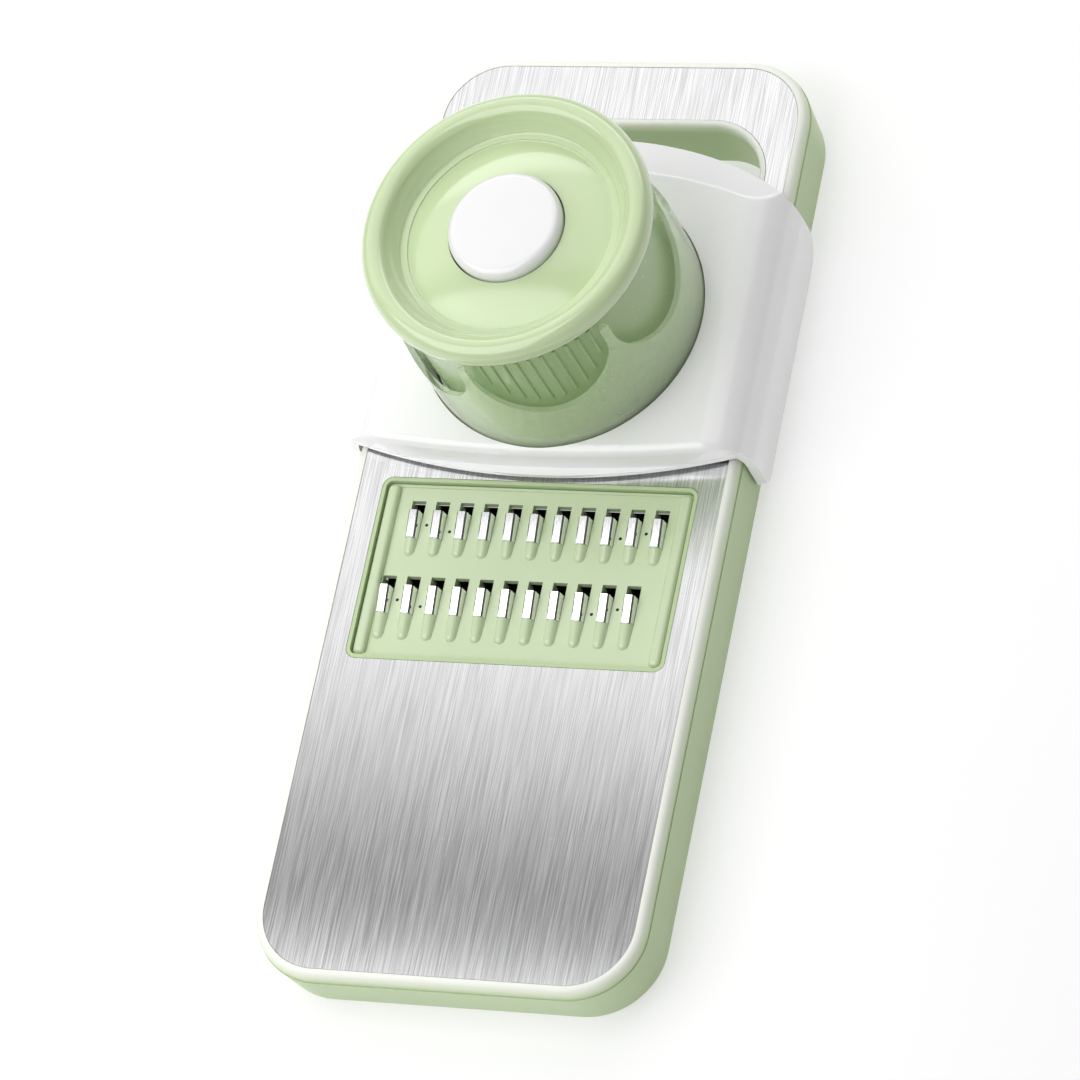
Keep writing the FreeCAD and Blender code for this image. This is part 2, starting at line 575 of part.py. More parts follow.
def guard_section(hx, z_top, fold, z0):
    """Body with the guard's cross-section: upright sides folded over into a flat top."""
    k = fold * (1 - math.sqrt(0.5))
    y = GUARD_FRONT_Y - 10
    left = [V(-hx, y, z0), V(-hx, y, z_top - fold), V(-hx + k, y, z_top - k), V(-hx + fold, y, z_top)]
    right = [V(-p.x, y, p.z) for p in left]
    outline = [Part.LineSegment(left[0], left[1]), Part.Arc(left[1], left[2], left[3]),
               Part.LineSegment(left[3], right[3]), Part.Arc(right[3], right[2], right[1]),
               Part.LineSegment(right[1], right[0]), Part.LineSegment(right[0], left[0])]
    face = Part.Face(Part.Wire([e.toShape() for e in outline]))
    return face.extrude(V(0, GUARD_BACK_Y + 10 - y, 0))


def crown_slopes(front_inset, back_inset, z0):
    """Solid between the conical front and back slopes of the crown, from z0 up."""
    rise = Z_GUARD_TOP - Z_LIP
    z1 = Z_GUARD_TOP + 1
    front_run = CROWN_FRONT_SLOPE / rise
    back_run = (GUARD_BACK_Y - CROWN_BACK_Y) / rise

    def front_r(z):
        return CROWN_FRONT_ARC - front_inset - (z - Z_LIP) * front_run

    def back_r(z):
        return CROWN_BACK_ARC - back_inset + (Z_GUARD_TOP - z) * back_run

    front = Part.makeCone(front_r(z0), front_r(z1), z1 - z0, V(0, CROWN_FRONT_Y + CROWN_FRONT_ARC, z0))
    back = Part.makeCone(back_r(z0), back_r(z1), z1 - z0, V(0, CROWN_BACK_Y - CROWN_BACK_ARC, z0))
    return front.common(back)


def guard_saddle():
    outer = guard_section(GUARD_HX, Z_GUARD_TOP, GUARD_FOLD, Z_GUARD_LOW)
    inner = guard_section(GUARD_INNER_HX, Z_GUARD_ROOF, GUARD_FOLD - GUARD_WALL, Z_GUARD_LOW - 1)
    crown = outer.common(guard_plan(LIP_W, Z_GUARD, Z_GUARD_TOP + 1)).common(crown_slopes(0, 0, Z_GUARD))
    crown = round_edges(crown, GUARD_ROUND, lambda e: lies_at(Z_GUARD_TOP)(e)
                        and e.BoundBox.XLength > GUARD_FOLD and e.BoundBox.YLength < GUARD_FOLD)
    apron = guard_plan(0, Z_GUARD_LOW, Z_LIP)
    for radius, back in ((FLANGE_FRONT_ROUND, False), (FLANGE_BACK_ROUND, True)):
        apron = round_edges(apron, radius, lambda e: lies_at(Z_GUARD_LOW)(e) and e.BoundBox.XLength > 1
                            and (e.BoundBox.YMax > TOWER_Y) == back)
    body = crown.fuse(apron.common(outer))
    passage = inner.common(block(-GUARD_HX, GUARD_HX, -BOARD_HY, BOARD_HY, Z_GUARD_LOW - 2, Z_GUARD))
    hollow = inner.common(crown_slopes(GUARD_WALL, BACK_WALL_RUN, Z_GUARD - 1))
    body = body.cut(passage).cut(hollow)
    flange_room = disc(SLEEVE_R + SLEEVE_FLANGE + SLEEVE_GAP, Z_RING_LOW - 1, Z_GUARD_ROOF)
    screws = [polar(EAR_CIRCLE, a) for a in EAR_ANGLES]
    ears = [disc(EAR_R, Z_SLEEVE_LOW, Z_GUARD_ROOF + 0.5, at).cut(flange_room) for at in screws]
    body = fuse_all([body] + ears).cut(disc(HOLE_R, Z_GUARD_LOW, Z_GUARD_TOP + 1))
    z_hole = Z_RING_LOW + RING_SCREW_L + SCREW_END_GAP
    return cut_all(body, [disc(RING_SCREW_R, Z_SLEEVE_LOW - 1, z_hole, at) for at in screws])


def guard_runner(side):
    """Low-friction strip bonded inside one flange."""
    x_out = side * GUARD_INNER_HX
    x_in = side * (GUARD_INNER_HX - RUNNER_T)
    z0 = Z_GUARD_LOW + FLANGE_FRONT_ROUND
    strip = block(min(x_in, x_out), max(x_in, x_out), GUARD_SIDE_FRONT + RUNNER_MARGIN,
                  GUARD_SIDE_BACK - RUNNER_MARGIN, z0, z0 + RUNNER_H)

    def at_corner(e):
        return e.BoundBox.YLength < 0.01 and e.BoundBox.ZLength < 0.01

    return round_edges(strip, RUNNER_ROUND, at_corner)


def behind_front_wall(shape):
    """The part of a shape that the guard's front wall leaves room for."""
    return shape.common(block(-GUARD_HX, GUARD_HX, FLANGE_FLAT_Y, BOARD_HY, Z_GUARD_LOW, Z_GUARD_TOP))


def tower_sleeve():
    """Clear sleeve that guides the pusher, scalloped round its top for the fingers."""
    z_top = Z_PANEL + SLEEVE_TOP
    wall = tube(SLEEVE_R, SLEEVE_IN, Z_SLEEVE_LOW, z_top)
    flange = tube(SLEEVE_R + SLEEVE_FLANGE, SLEEVE_IN, Z_SLEEVE_LOW, Z_GUARD_ROOF)
    body = wall.fuse(behind_front_wall(flange))
    z_mid = Z_PANEL + SCALLOP_LOW + SCALLOP_R
    for i in range(SCALLOPS):
        cutter = Part.makeCylinder(SCALLOP_R, 2 * SLEEVE_R, V(0, 0, z_mid), V(1, 0, 0)).fuse(
            block(0, 2 * SLEEVE_R, -SCALLOP_R, SCALLOP_R, z_mid, z_top + 1))
        cutter.rotate(V(0, 0, 0), V(0, 0, 1), SCALLOP_START + 360.0 * i / SCALLOPS)
        cutter.translate(AXIS)
        body = body.cut(cutter)
    return body


def sleeve_ring():
    """Ring that holds the sleeve's flange up against the guard."""
    rim = behind_front_wall(disc(SLEEVE_R + SLEEVE_FLANGE, Z_RING_LOW, Z_SLEEVE_LOW))
    ears = [disc(EAR_R, Z_RING_LOW, Z_SLEEVE_LOW, polar(EAR_CIRCLE, a)) for a in EAR_ANGLES]
    plate = fuse_all([disc(SLEEVE_R, Z_RING_LOW, Z_SLEEVE_LOW), rim] + ears)
    plate = plate.cut(disc(SLEEVE_IN, Z_RING_LOW - 1, Z_SLEEVE_LOW + 1))
    for a in EAR_ANGLES:
        plate = plate.cut(countersink(SMALL_HEAD_R, SMALL_HEAD_H, RING_SCREW_R, RING_T + 1,
                                      polar(EAR_CIRCLE, a), Z_RING_LOW))
    return plate


def ring_screws():
    return Part.makeCompound([countersunk(SMALL_HEAD_R, SMALL_HEAD_H, RING_SCREW_R, RING_SCREW_L,
                                          polar(EAR_CIRCLE, a), Z_RING_LOW) for a in EAR_ANGLES])


# ---------------------------------------------------------------- pusher
def cap_screw_points():
    return ring_points(CAP_SCREW_CIRCLE, CAP_SCREWS, 45.0)


def plate_screw_points():
    return ring_points(PLATE_SCREW_CIRCLE, PLATE_SCREWS, 15.0)


def pusher_barrel():
    """Ribbed cup that runs in the sleeve: wall, screw shelf at the top, plate bosses at the bottom."""
    body = tube(BARREL_R, BARREL_R - BARREL_WALL, Z_BARREL, Z_BARREL_TOP)
    shelf = tube(BARREL_R - 0.5, SHELF_INNER_R, Z_BARREL_TOP - BARREL_SHELF, Z_BARREL_TOP)
    z_plate = Z_BARREL + SPIKE_PLATE_T
    bosses = [disc(PLATE_BOSS_R, z_plate, z_plate + PLATE_BOSS_L, at) for at in plate_screw_points()]
    z_low, r_face = Z_PANEL + SCALLOP_LOW + SCALLOP_R, BARREL_R
    rib_middle = SCALLOP_START + RIB_SCALLOP * 360.0 / SCALLOPS
    ribs = []
    for i in range(RIB_COUNT):
        turn = (i - (RIB_COUNT - 1) / 2) * RIB_STEP
        across = SLEEVE_R * math.sin(math.radians(turn))
        z0 = z_low - math.sqrt(SCALLOP_R ** 2 - across ** 2) + RIB_LIFT + RIB_R
        at = polar(r_face, rib_middle + turn)
        ribs.append(Part.makeCylinder(RIB_R, Z_BARREL_TOP - 0.5 - z0, V(at.x, at.y, z0)))
        ribs.append(Part.makeSphere(RIB_R, V(at.x, at.y, z0)))
    body = fuse_all([body, shelf] + bosses + ribs)
    for at in cap_screw_points():
        body = body.cut(countersink(SMALL_HEAD_R, SMALL_HEAD_H, SMALL_SCREW_R, BARREL_SHELF + 1, at,
                                    Z_BARREL_TOP - BARREL_SHELF))
    for at in plate_screw_points():
        body = body.cut(disc(SMALL_SCREW_R, Z_BARREL, Z_BARREL + PLATE_SCREW_L + SCREW_END_GAP, at))
    return body


def knob_cap():
    """Mushroom knob: rounded rim, sloping dish, and a cup in the middle for the button."""
    bead_r = KNOB_R - KNOB_BEAD
    z_bead = Z_PANEL + KNOB_BULGE
    z_skirt = Z_PANEL + KNOB_SKIRT
    hub_r, z_hub = CUP_R + KNOB_WALL + 1, Z_DISH - KNOB_WALL - 1
    lean = math.radians(KNOB_LEAN)
    start = V(bead_r - KNOB_BEAD * math.cos(lean), 0, z_bead + KNOB_BEAD * math.sin(lean))
    top = V(bead_r, 0, z_bead + KNOB_BEAD)
    side = V(KNOB_R, 0, z_bead)
    low = V(KNOB_R - KNOB_TUCK, 0, z_bead - KNOB_TUCK_H)
    under = V(KNOB_R - KNOB_UNDER, 0, z_skirt)
    z_ledge = Z_DISH + DISH_STEP
    toe = V(DISH_R + DISH_BLEND, 0, z_ledge + DISH_BLEND)
    blend = V(DISH_R - DISH_BLEND / 2, 0, z_ledge)
    slope_mid = V((start.x + toe.x) / 2 + 0.3, 0, (start.z + toe.z) / 2 - 0.25)
    floor_r = DISH_R - DISH_LEDGE - 0.5
    floor_edge, floor_head = V(floor_r, 0, Z_DISH), V(CUP_R, 0, Z_DISH + DISH_CROWN)
    mid_r = (floor_r + CUP_R) / 2
    floor_mid = V(mid_r, 0, Z_DISH + DISH_CROWN * (floor_r ** 2 - mid_r ** 2) / (floor_r ** 2 - CUP_R ** 2))
    crown = top + V(-KNOB_BEAD * math.sin(math.radians(25)), 0, -KNOB_BEAD * (1 - math.cos(math.radians(25))))
    shoulder = V(bead_r + KNOB_BEAD * math.sqrt(0.5), 0, z_bead + KNOB_BEAD * math.sqrt(0.5))
    cheek = V(KNOB_R - 0.15, 0, z_bead - 1.6)
    inner = BARREL_R - KNOB_FIT
    chain = [
        Part.Arc(floor_head, floor_mid, floor_edge),
        Part.Arc(floor_edge, floor_edge + V(0.4, 0, 0.15 * DISH_STEP), floor_edge + V(0.6, 0, DISH_STEP)),
        Part.LineSegment(floor_edge + V(0.6, 0, DISH_STEP), blend),
        Part.Arc(blend, V(DISH_R + DISH_BLEND / 2, 0, z_ledge + DISH_BLEND / 3), toe),
        Part.Arc(toe, slope_mid, start),
        Part.Arc(start, crown, top),
        Part.Arc(top, shoulder, side),
        Part.Arc(side, cheek, low),
        Part.LineSegment(low, under),
        Part.LineSegment(under, V(inner, 0, z_skirt)),
        Part.LineSegment(V(inner, 0, z_skirt), V(inner, 0, Z_BARREL_TOP)),
        Part.LineSegment(V(inner, 0, Z_BARREL_TOP), V(hub_r, 0, Z_BARREL_TOP)),
        Part.LineSegment(V(hub_r, 0, Z_BARREL_TOP), V(hub_r, 0, z_hub)),
        Part.LineSegment(V(hub_r, 0, z_hub), V(CUP_R, 0, z_hub)),
        Part.LineSegment(V(CUP_R, 0, z_hub), floor_head),
    ]
    section = Part.Face(Part.Wire([c.toShape() for c in chain]))
    body = section.revolve(V(0, 0, 0), V(0, 0, 1), 360)
    body.translate(AXIS)
    cup = tube(CUP_R + KNOB_WALL, CUP_R, Z_CUP - KNOB_WALL, Z_DISH - 1)
    cup_floor = tube(CUP_R + 1, STEM_R + STEM_GAP, Z_CUP - KNOB_WALL, Z_CUP)
    bosses = [disc(CAP_BOSS_R, Z_BARREL_TOP, Z_DISH - 1, at) for at in cap_screw_points()]
    body = fuse_all([body, cup, cup_floor] + bosses)
    for at in cap_screw_points():
        body = body.cut(disc(SMALL_SCREW_R, Z_BARREL_TOP - 1, Z_DISH - 0.9, at))
    return body


def cap_screws():
    z = Z_BARREL_TOP - BARREL_SHELF
    return Part.makeCompound([countersunk(SMALL_HEAD_R, SMALL_HEAD_H, SMALL_SCREW_R, CAP_SCREW_L, at, z)
                              for at in cap_screw_points()])


def spike_points():
    return [p for radius, count in SPIKE_RINGS for p in ring_points(radius, count)]


def spike_plate():
    """Disc that closes the barrel and carries the spikes."""
    plate = disc(BARREL_R - BARREL_WALL - SPIKE_PLATE_GAP, Z_SPIKE_PLATE, Z_SPIKE_PLATE + SPIKE_PLATE_T)
    plate = plate.cut(disc(STEM_R + STEM_GAP, Z_SPIKE_PLATE - 1, Z_SPIKE_PLATE + SPIKE_PLATE_T + 1))
    for at in spike_points():
        plate = plate.cut(disc(SPIKE_R, Z_SPIKE_PLATE - 1, Z_SPIKE_PLATE + SPIKE_PLATE_T + 1, at))
    for at in plate_screw_points():
        plate = plate.cut(countersink(SMALL_HEAD_R, SMALL_HEAD_H, SMALL_SCREW_R, SPIKE_PLATE_T + 1, at,
                                      Z_SPIKE_PLATE))
    return plate


def food_spikes():
    z_tip = Z_PANEL + SPIKE_TIP
    spikes = []
    for at in spike_points():
        shank = disc(SPIKE_R, z_tip + SPIKE_TAPER, Z_SPIKE_PLATE + SPIKE_PLATE_T, at)
        spikes.append(shank.fuse(Part.makeCone(SPIKE_POINT_R, SPIKE_R, SPIKE_TAPER, V(at.x, at.y, z_tip))))
    return Part.makeCompound(spikes)


def plate_screws():
    return Part.makeCompound([countersunk(SMALL_HEAD_R, SMALL_HEAD_H, SMALL_SCREW_R, PLATE_SCREW_L, at,
                                          Z_SPIKE_PLATE) for at in plate_screw_points()])


# ---------------------------------------------------------------- button and ejector
def button_cap():
    z_side = Z_BUTTON_TOP - BUTTON_DOME
    side = disc(BUTTON_R, Z_PANEL + BUTTON_SKIRT, z_side)
    dome_r = (BUTTON_R ** 2 + BUTTON_DOME ** 2) / (2 * BUTTON_DOME)
    dome = Part.makeSphere(dome_r, AXIS + V(0, 0, Z_BUTTON_TOP - dome_r)).common(
        disc(BUTTON_R, z_side - 1, Z_BUTTON_TOP + 1))
    body = side.cut(disc(BUTTON_R + 1, z_side - 1, z_side + 1)).fuse(dome)
    body = round_edges(body, BUTTON_ROUND, lambda e: lies_at(z_side)(e) and e.BoundBox.XLength > BUTTON_R)
    z_roof = z_side - BUTTON_WALL - BUTTON_DOME
    return body.cut(disc(BUTTON_R - BUTTON_WALL, Z_PANEL + BUTTON_SKIRT - 1, z_roof))


def button_stem():
    z_under = Z_BUTTON_TOP - 2 * BUTTON_DOME - BUTTON_WALL
    stem = disc(STEM_R, Z_EJECTOR_TOP, z_under)
    head = disc(STEM_HEAD_R, z_under - STEM_HEAD_T, z_under)
    return stem.fuse(head).cut(disc(SMALL_SCREW_R, Z_EJECTOR_TOP - 1, Z_EJECTOR_TOP + STEM_SCREW_L, AXIS))


def ejector_plate():
    """Disc round the spikes that pushes the food off them."""
    z0 = Z_EJECTOR_TOP - EJECTOR_T
    plate = disc(SLEEVE_IN - EJECTOR_EDGE_GAP, z0, Z_EJECTOR_TOP)
    for at in spike_points():
        plate = plate.cut(disc(SPIKE_R + SPIKE_HOLE_GAP, z0 - 1, Z_EJECTOR_TOP + 1, at))
    return plate.cut(countersink(SMALL_HEAD_R, SMALL_HEAD_H, SMALL_SCREW_R, EJECTOR_T + 1, AXIS, z0))


def stem_screw():
    z_head = Z_EJECTOR_TOP - EJECTOR_T
    return countersunk(SMALL_HEAD_R, SMALL_HEAD_H, SMALL_SCREW_R, STEM_SCREW_L, AXIS, z_head)


def button_spring():
    """Coil spring round the stem, from the cup's floor to the stem's head."""
    z0 = Z_CUP + SPRING_WIRE + SPRING_GAP
    z1 = Z_BUTTON_TOP - 2 * BUTTON_DOME - BUTTON_WALL - STEM_HEAD_T - SPRING_WIRE - SPRING_GAP
    pitch = (z1 - z0) / SPRING_TURNS
    path = Part.Wire(Part.makeHelix(pitch, z1 - z0, SPRING_R))
    section = Part.Wire(Part.makeCircle(SPRING_WIRE, V(SPRING_R, 0, 0), V(0, 1, 0)))
    coil = path.makePipeShell([section], True, True)
    coil.translate(AXIS + V(0, 0, z0))
    return coil


# ---------------------------------------------------------------- export
LOWER_SCREWS, UPPER_SCREWS = cover_screw_points()
NODES = {
    "board_frame": board_frame,
    "steel_panel": steel_panel,
    "lower_cover": lambda: underside_cover(LOWER_SCREWS, -1),
    "upper_cover": lambda: underside_cover(UPPER_SCREWS, 1),
    "cover_screws": cover_screws,
    "foot_pads": foot_pads,
    "blade_tray": blade_tray,
    "blade_row_upper": lambda: blade_row(UPPER_SHIFT, UPPER_ROW_Y),
    "blade_row_lower": lambda: blade_row(LOWER_SHIFT, LOWER_ROW_Y),
    "blade_clamp_upper": lambda: blade_clamp(UPPER_SHIFT, UPPER_ROW_Y),
    "blade_clamp_lower": lambda: blade_clamp(LOWER_SHIFT, LOWER_ROW_Y),
    "blade_pins": blade_pins,
    "guard_saddle": guard_saddle,
    "guard_runner_left": lambda: guard_runner(-1),
    "guard_runner_right": lambda: guard_runner(1),
    "tower_sleeve": tower_sleeve,
    "sleeve_ring": sleeve_ring,
    "ring_screws": ring_screws,
    "pusher_barrel": pusher_barrel,
    "knob_cap": knob_cap,
    "cap_screws": cap_screws,
    "spike_plate": spike_plate,
    "food_spikes": food_spikes,
    "plate_screws": plate_screws,
    "button_cap": button_cap,
    "button_stem": button_stem,
    "ejector_plate": ejector_plate,
    "stem_screw": stem_screw,
    "button_spring": button_spring,
}

os.makedirs("parts", exist_ok=True)
for name, make in NODES.items():
    shape = make()
    solids = shape.Solids
    shape = solids[0] if len(solids) == 1 else Part.makeCompound(solids)
    shape.exportStep(os.path.join("parts", name + ".step"))
    box = shape.BoundBox
    print(f"{name:20s} solids {len(solids):2d} volume {shape.Volume:9.1f} valid {shape.isValid()} "
          f"x {box.XMin:.1f}..{box.XMax:.1f} y {box.YMin:.1f}..{box.YMax:.1f} "
          f"z {box.ZMin:.1f}..{box.ZMax:.1f}")
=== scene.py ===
"""Looks of the mandoline slicer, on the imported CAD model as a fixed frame. Metres."""
import json
import math

import bpy
from mathutils import Matrix, Vector


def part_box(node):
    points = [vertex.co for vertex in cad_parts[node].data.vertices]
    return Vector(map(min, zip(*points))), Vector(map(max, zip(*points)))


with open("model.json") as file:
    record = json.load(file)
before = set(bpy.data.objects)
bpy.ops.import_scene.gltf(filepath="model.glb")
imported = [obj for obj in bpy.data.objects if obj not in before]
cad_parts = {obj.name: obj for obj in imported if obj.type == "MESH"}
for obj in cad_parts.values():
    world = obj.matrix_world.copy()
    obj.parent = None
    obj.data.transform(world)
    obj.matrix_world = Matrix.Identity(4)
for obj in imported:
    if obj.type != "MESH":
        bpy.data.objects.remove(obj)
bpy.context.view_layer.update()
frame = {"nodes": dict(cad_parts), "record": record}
MM = 0.001
WHITE = (1.0, 1.0, 1.0)

PANEL_LOW, PANEL_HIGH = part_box("steel_panel")
PANEL_TOP = PANEL_HIGH.z
PANEL_CENTRE = Vector(((PANEL_LOW.x + PANEL_HIGH.x) / 2, (PANEL_LOW.y + PANEL_HIGH.y) / 2, PANEL_TOP))
TRAY_LOW, TRAY_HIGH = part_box("blade_tray")

# colours, linear
LEAF = (0.59, 0.70, 0.46)
BOARD_LEAF = (0.51, 0.64, 0.37)
LEAF_DEEP = (0.44, 0.57, 0.31)
# painted highlight on the board's rounded rim, from the lower bevel up to the top edge
RIM_HIGHLIGHT_LOW = (0.68, 0.77, 0.54)
RIM_HIGHLIGHT_HIGH = (0.80, 0.86, 0.70)
RIM_HIGHLIGHT_EDGE = (0.88, 0.90, 0.83)
STEEL = (0.74, 0.74, 0.75)
GUARD_WHITE = (0.92, 0.92, 0.925)

# the board's rim: painted highlight from the crease up to the edge
CREASE_DEPTH = 3.9 * MM         # crease below the top of the deck
CREASE_BLEND = 0.3 * MM

# camera, aimed at a place on the deck
LENS = 200.6
AZIMUTH, ELEVATION, ROLL = 42.313, 57.446, -35.148
DISTANCE = 1.7002
AIM = Vector((3.5, -10.3, 0.0)) * MM

# studio
FLOOR_REACH = 6.0
FLOOR_GREY = 0.55
FLOOR_GLOW = 0.48
# height over the floor of the black sheet of painted shade under the blade chamber
PAINTED_SHADE_LIFT = 0.2 * MM
CARD_HEIGHT = 0.56              # cards over the deck
SKY_BASE = 0.06
SKY_LOBES = (                   # direction, strength, sharpness
    ((-0.45, -0.75, 0.4), 0.40, 2.0),
    ((0.0, 1.0, 0.25), 0.45, 3.0),
    ((0.7, -0.7, 0.3), 0.30, 8.0),
)


# ---------------------------------------------------------------- node helpers
class Graph:
    """One material's nodes. Its textures lie in the model's own space, in metres."""

    def __init__(self, name):
        self.material = bpy.data.materials.new(name)
        self.material.use_nodes = True
        self.tree = self.material.node_tree
        self.tree.nodes.clear()
        self.shader = self.add("ShaderNodeBsdfPrincipled")
        self.output = self.add("ShaderNodeOutputMaterial")
        self.link(self.shader.outputs["BSDF"], self.output.inputs["Surface"])
        self.place = self.add("ShaderNodeTexCoord").outputs["Object"]

    def add(self, kind, **settings):
        node = self.tree.nodes.new(kind)
        for name, value in settings.items():
            setattr(node, name, value)
        return node

    def link(self, source, target):
        self.tree.links.new(source, target)

    def put(self, socket, value):
        """Give an input a value, or link it to an output."""
        if isinstance(value, bpy.types.NodeSocket):
            self.link(value, socket)
        elif isinstance(value, tuple) and len(value) == 3 and socket.type == "RGBA":
            socket.default_value = (*value, 1.0)
        else:
            socket.default_value = value

    def set(self, **values):
        for name, value in values.items():
            self.put(self.shader.inputs[name.replace("_", " ")], value)

    def maths(self, operation, first, second=0.0, clamp=False):
        node = self.add("ShaderNodeMath", operation=operation, use_clamp=clamp)
        self.put(node.inputs[0], first)
        self.put(node.inputs[1], second)
        return node.outputs[0]

    def noise(self, size, detail=3.0, stretch=(1.0, 1.0, 1.0), roughness=0.55):
        """Noise whose features are about size metres across, longer along a stretched axis."""
        mapping = self.add("ShaderNodeMapping")
        self.link(self.place, mapping.inputs["Vector"])
        mapping.inputs["Scale"].default_value = [1.0 / (size * s) for s in stretch]
        node = self.add("ShaderNodeTexNoise")
        self.link(mapping.outputs["Vector"], node.inputs["Vector"])
        node.inputs["Scale"].default_value = 1.0
        node.inputs["Detail"].default_value = detail
        node.inputs["Roughness"].default_value = roughness
        return node.outputs["Fac"]

    def span(self, value, low, high, to_low=0.0, to_high=1.0):
        """Straight-line map of low..high to to_low..to_high, held at the ends."""
        node = self.add("ShaderNodeMapRange", clamp=True)
        for socket, given in zip(node.inputs, (value, low, high, to_low, to_high)):
            self.put(socket, given)
        return node.outputs["Result"]

    def ramp(self, value, *stops):
        """Colour ramp of (position, colour) stops."""
        node = self.add("ShaderNodeValToRGB")
        while len(node.color_ramp.elements) < len(stops):
            node.color_ramp.elements.new(1.0)
        for element, (position, colour) in zip(node.color_ramp.elements, stops):
            element.position = position
            element.color = (*colour, 1.0)
        self.link(value, node.inputs["Fac"])
        return node.outputs["Color"]

    def mix(self, share, first, second):
        node = self.add("ShaderNodeMix", data_type="RGBA")
        self.put(node.inputs[0], share)
        self.put(node.inputs[6], first)
        self.put(node.inputs[7], second)
        return node.outputs[2]

    def bump(self, height, depth, strength=1.0, under=None):
        node = self.add("ShaderNodeBump")
        node.inputs["Strength"].default_value = strength
        node.inputs["Distance"].default_value = depth
        self.link(height, node.inputs["Height"])
        if under is not None:
            self.link(under, node.inputs["Normal"])
        return node.outputs["Normal"]

    def axes(self):
        node = self.add("ShaderNodeSeparateXYZ")
        self.link(self.place, node.inputs["Vector"])
        return node.outputs


def shade(colour, share):
    return tuple(c * share for c in colour)


# ---------------------------------------------------------------- moulded plastic
def moulded(name, colour, gloss=0.3, texture=0.02, coat=0.15, painted_light=None, ior=1.48):
    """Injection-moulded plastic: slow colour drift, polish that varies, fine texture and scuffs."""
    g = Graph(name)
    drift = g.noise(38 * MM, 2.0)
    fleck = g.noise(0.5 * MM, 2.0)
    base = g.ramp(drift, (0.35, shade(colour, 0.98)), (0.65, shade(colour, 1.015)))
    base = g.mix(g.span(fleck, 0.3, 0.7, 0.0, 0.08), base, shade(colour, 0.94))
    # where given, this paints light or shade over the plastic's colour
    if painted_light is not None:
        base = painted_light(g, base)
    smear = g.noise(16 * MM, 4.0, (1.0, 2.2, 1.0))
    scuff = g.span(g.noise(0.3 * MM, 2.0, (1.0, 14.0, 6.0)), 0.6, 0.8)
    rough = g.span(smear, 0.3, 0.7, gloss * 0.9, gloss * 1.12)
    g.set(Base_Color=base, Roughness=g.maths("ADD", rough, g.maths("MULTIPLY", scuff, 0.06)))
    grain = g.noise(0.35 * MM, 2.0)
    flow = g.noise(9 * MM, 1.0)
    normal = g.bump(grain, texture * MM, 0.5)
    g.set(Normal=g.bump(flow, 0.01 * MM, 0.2, normal))
    g.set(IOR=ior, Coat_Weight=coat, Coat_Roughness=0.07)
    return g


def off_tray(g):
    """How far a place is outside the blade tray, seen from above."""
    x, y, _ = g.axes()
    off_x = g.maths("SUBTRACT", g.maths("ABSOLUTE", x), (TRAY_HIGH.x - TRAY_LOW.x) / 2)
    from_middle = g.maths("SUBTRACT", y, (TRAY_HIGH.y + TRAY_LOW.y) / 2)
    off_y = g.maths("SUBTRACT", g.maths("ABSOLUTE", from_middle), (TRAY_HIGH.y - TRAY_LOW.y) / 2)
    return g.maths("MAXIMUM", off_x, off_y)


def painted_rim_highlight(g, base):
    """Painted highlight: the board's rims are painted lighter towards the edge over the crease, where the
    rounded rim would catch the light. The tray's lip isn't.
    """
    z = g.axes()[2]
    crease = PANEL_TOP - CREASE_DEPTH
    # painted highlight: lighter with height above the crease
    height = g.span(z, crease, PANEL_TOP)
    painted_highlight = g.ramp(height, (0.0, BOARD_LEAF), (0.45, RIM_HIGHLIGHT_LOW), (0.78, RIM_HIGHLIGHT_HIGH), (0.95, RIM_HIGHLIGHT_EDGE))
    outside = g.maths("GREATER_THAN", off_tray(g), 0.0)
    share = g.maths("MULTIPLY", outside, g.span(z, crease - CREASE_BLEND, crease))
    return g.mix(share, base, painted_highlight)


def frosted():
    """Clear moulding with a fine frosted inside: see-through square on, milky at a glancing view."""
    g = moulded("sleeve_frosted", (0.73, 0.88, 0.58), gloss=0.2, texture=0.005, coat=0.4)
    facing = g.add("ShaderNodeLayerWeight")
    facing.inputs["Blend"].default_value = 0.35
    mist = g.noise(2.5 * MM, 3.0)
    opacity = g.span(facing.outputs["Facing"], 0.05, 0.90, 0.12, 0.80)
    g.set(Alpha=g.maths("ADD", opacity, g.span(mist, 0.3, 0.7, -0.012, 0.012), True))
    return g


# ---------------------------------------------------------------- metal
def brushed_panel():
    """Deck sheet brushed along the board, with soft cloudy bands and a few stray scratches."""
    g = Graph("panel_steel")
    fine = g.noise(0.20 * MM, 1.0, (1.0, 90.0, 1.0), 0.6)
    broad = g.noise(0.55 * MM, 1.0, (1.0, 60.0, 1.0))
    cloud = g.noise(26 * MM, 2.0, (1.0, 2.0, 1.0))
    streak = g.maths("ADD", g.maths("MULTIPLY", fine, 0.85), g.maths("MULTIPLY", broad, 0.15))
    base = g.ramp(streak, (0.36, shade(STEEL, 0.78)), (0.5, STEEL), (0.64, shade(STEEL, 1.2)))
    base = g.mix(g.span(cloud, 0.35, 0.65, 0.0, 0.25), base, shade(STEEL, 0.92))
    stray = g.span(g.noise(0.7 * MM, 2.0, (30.0, 1.0, 1.0)), 0.72, 0.8)
    g.set(Base_Color=base, Metallic=1.0, Anisotropic=0.92)
    rough = g.span(streak, 0.35, 0.65, 0.21, 0.25)
    g.set(Roughness=g.maths("ADD", rough, g.maths("MULTIPLY", stray, 0.06)))
    g.set(Normal=g.bump(streak, 0.0003 * MM, 0.5))
    across = g.add("ShaderNodeCombineXYZ")
    across.inputs["X"].default_value = 1.0
    g.link(across.outputs["Vector"], g.shader.inputs["Tangent"])
    return g


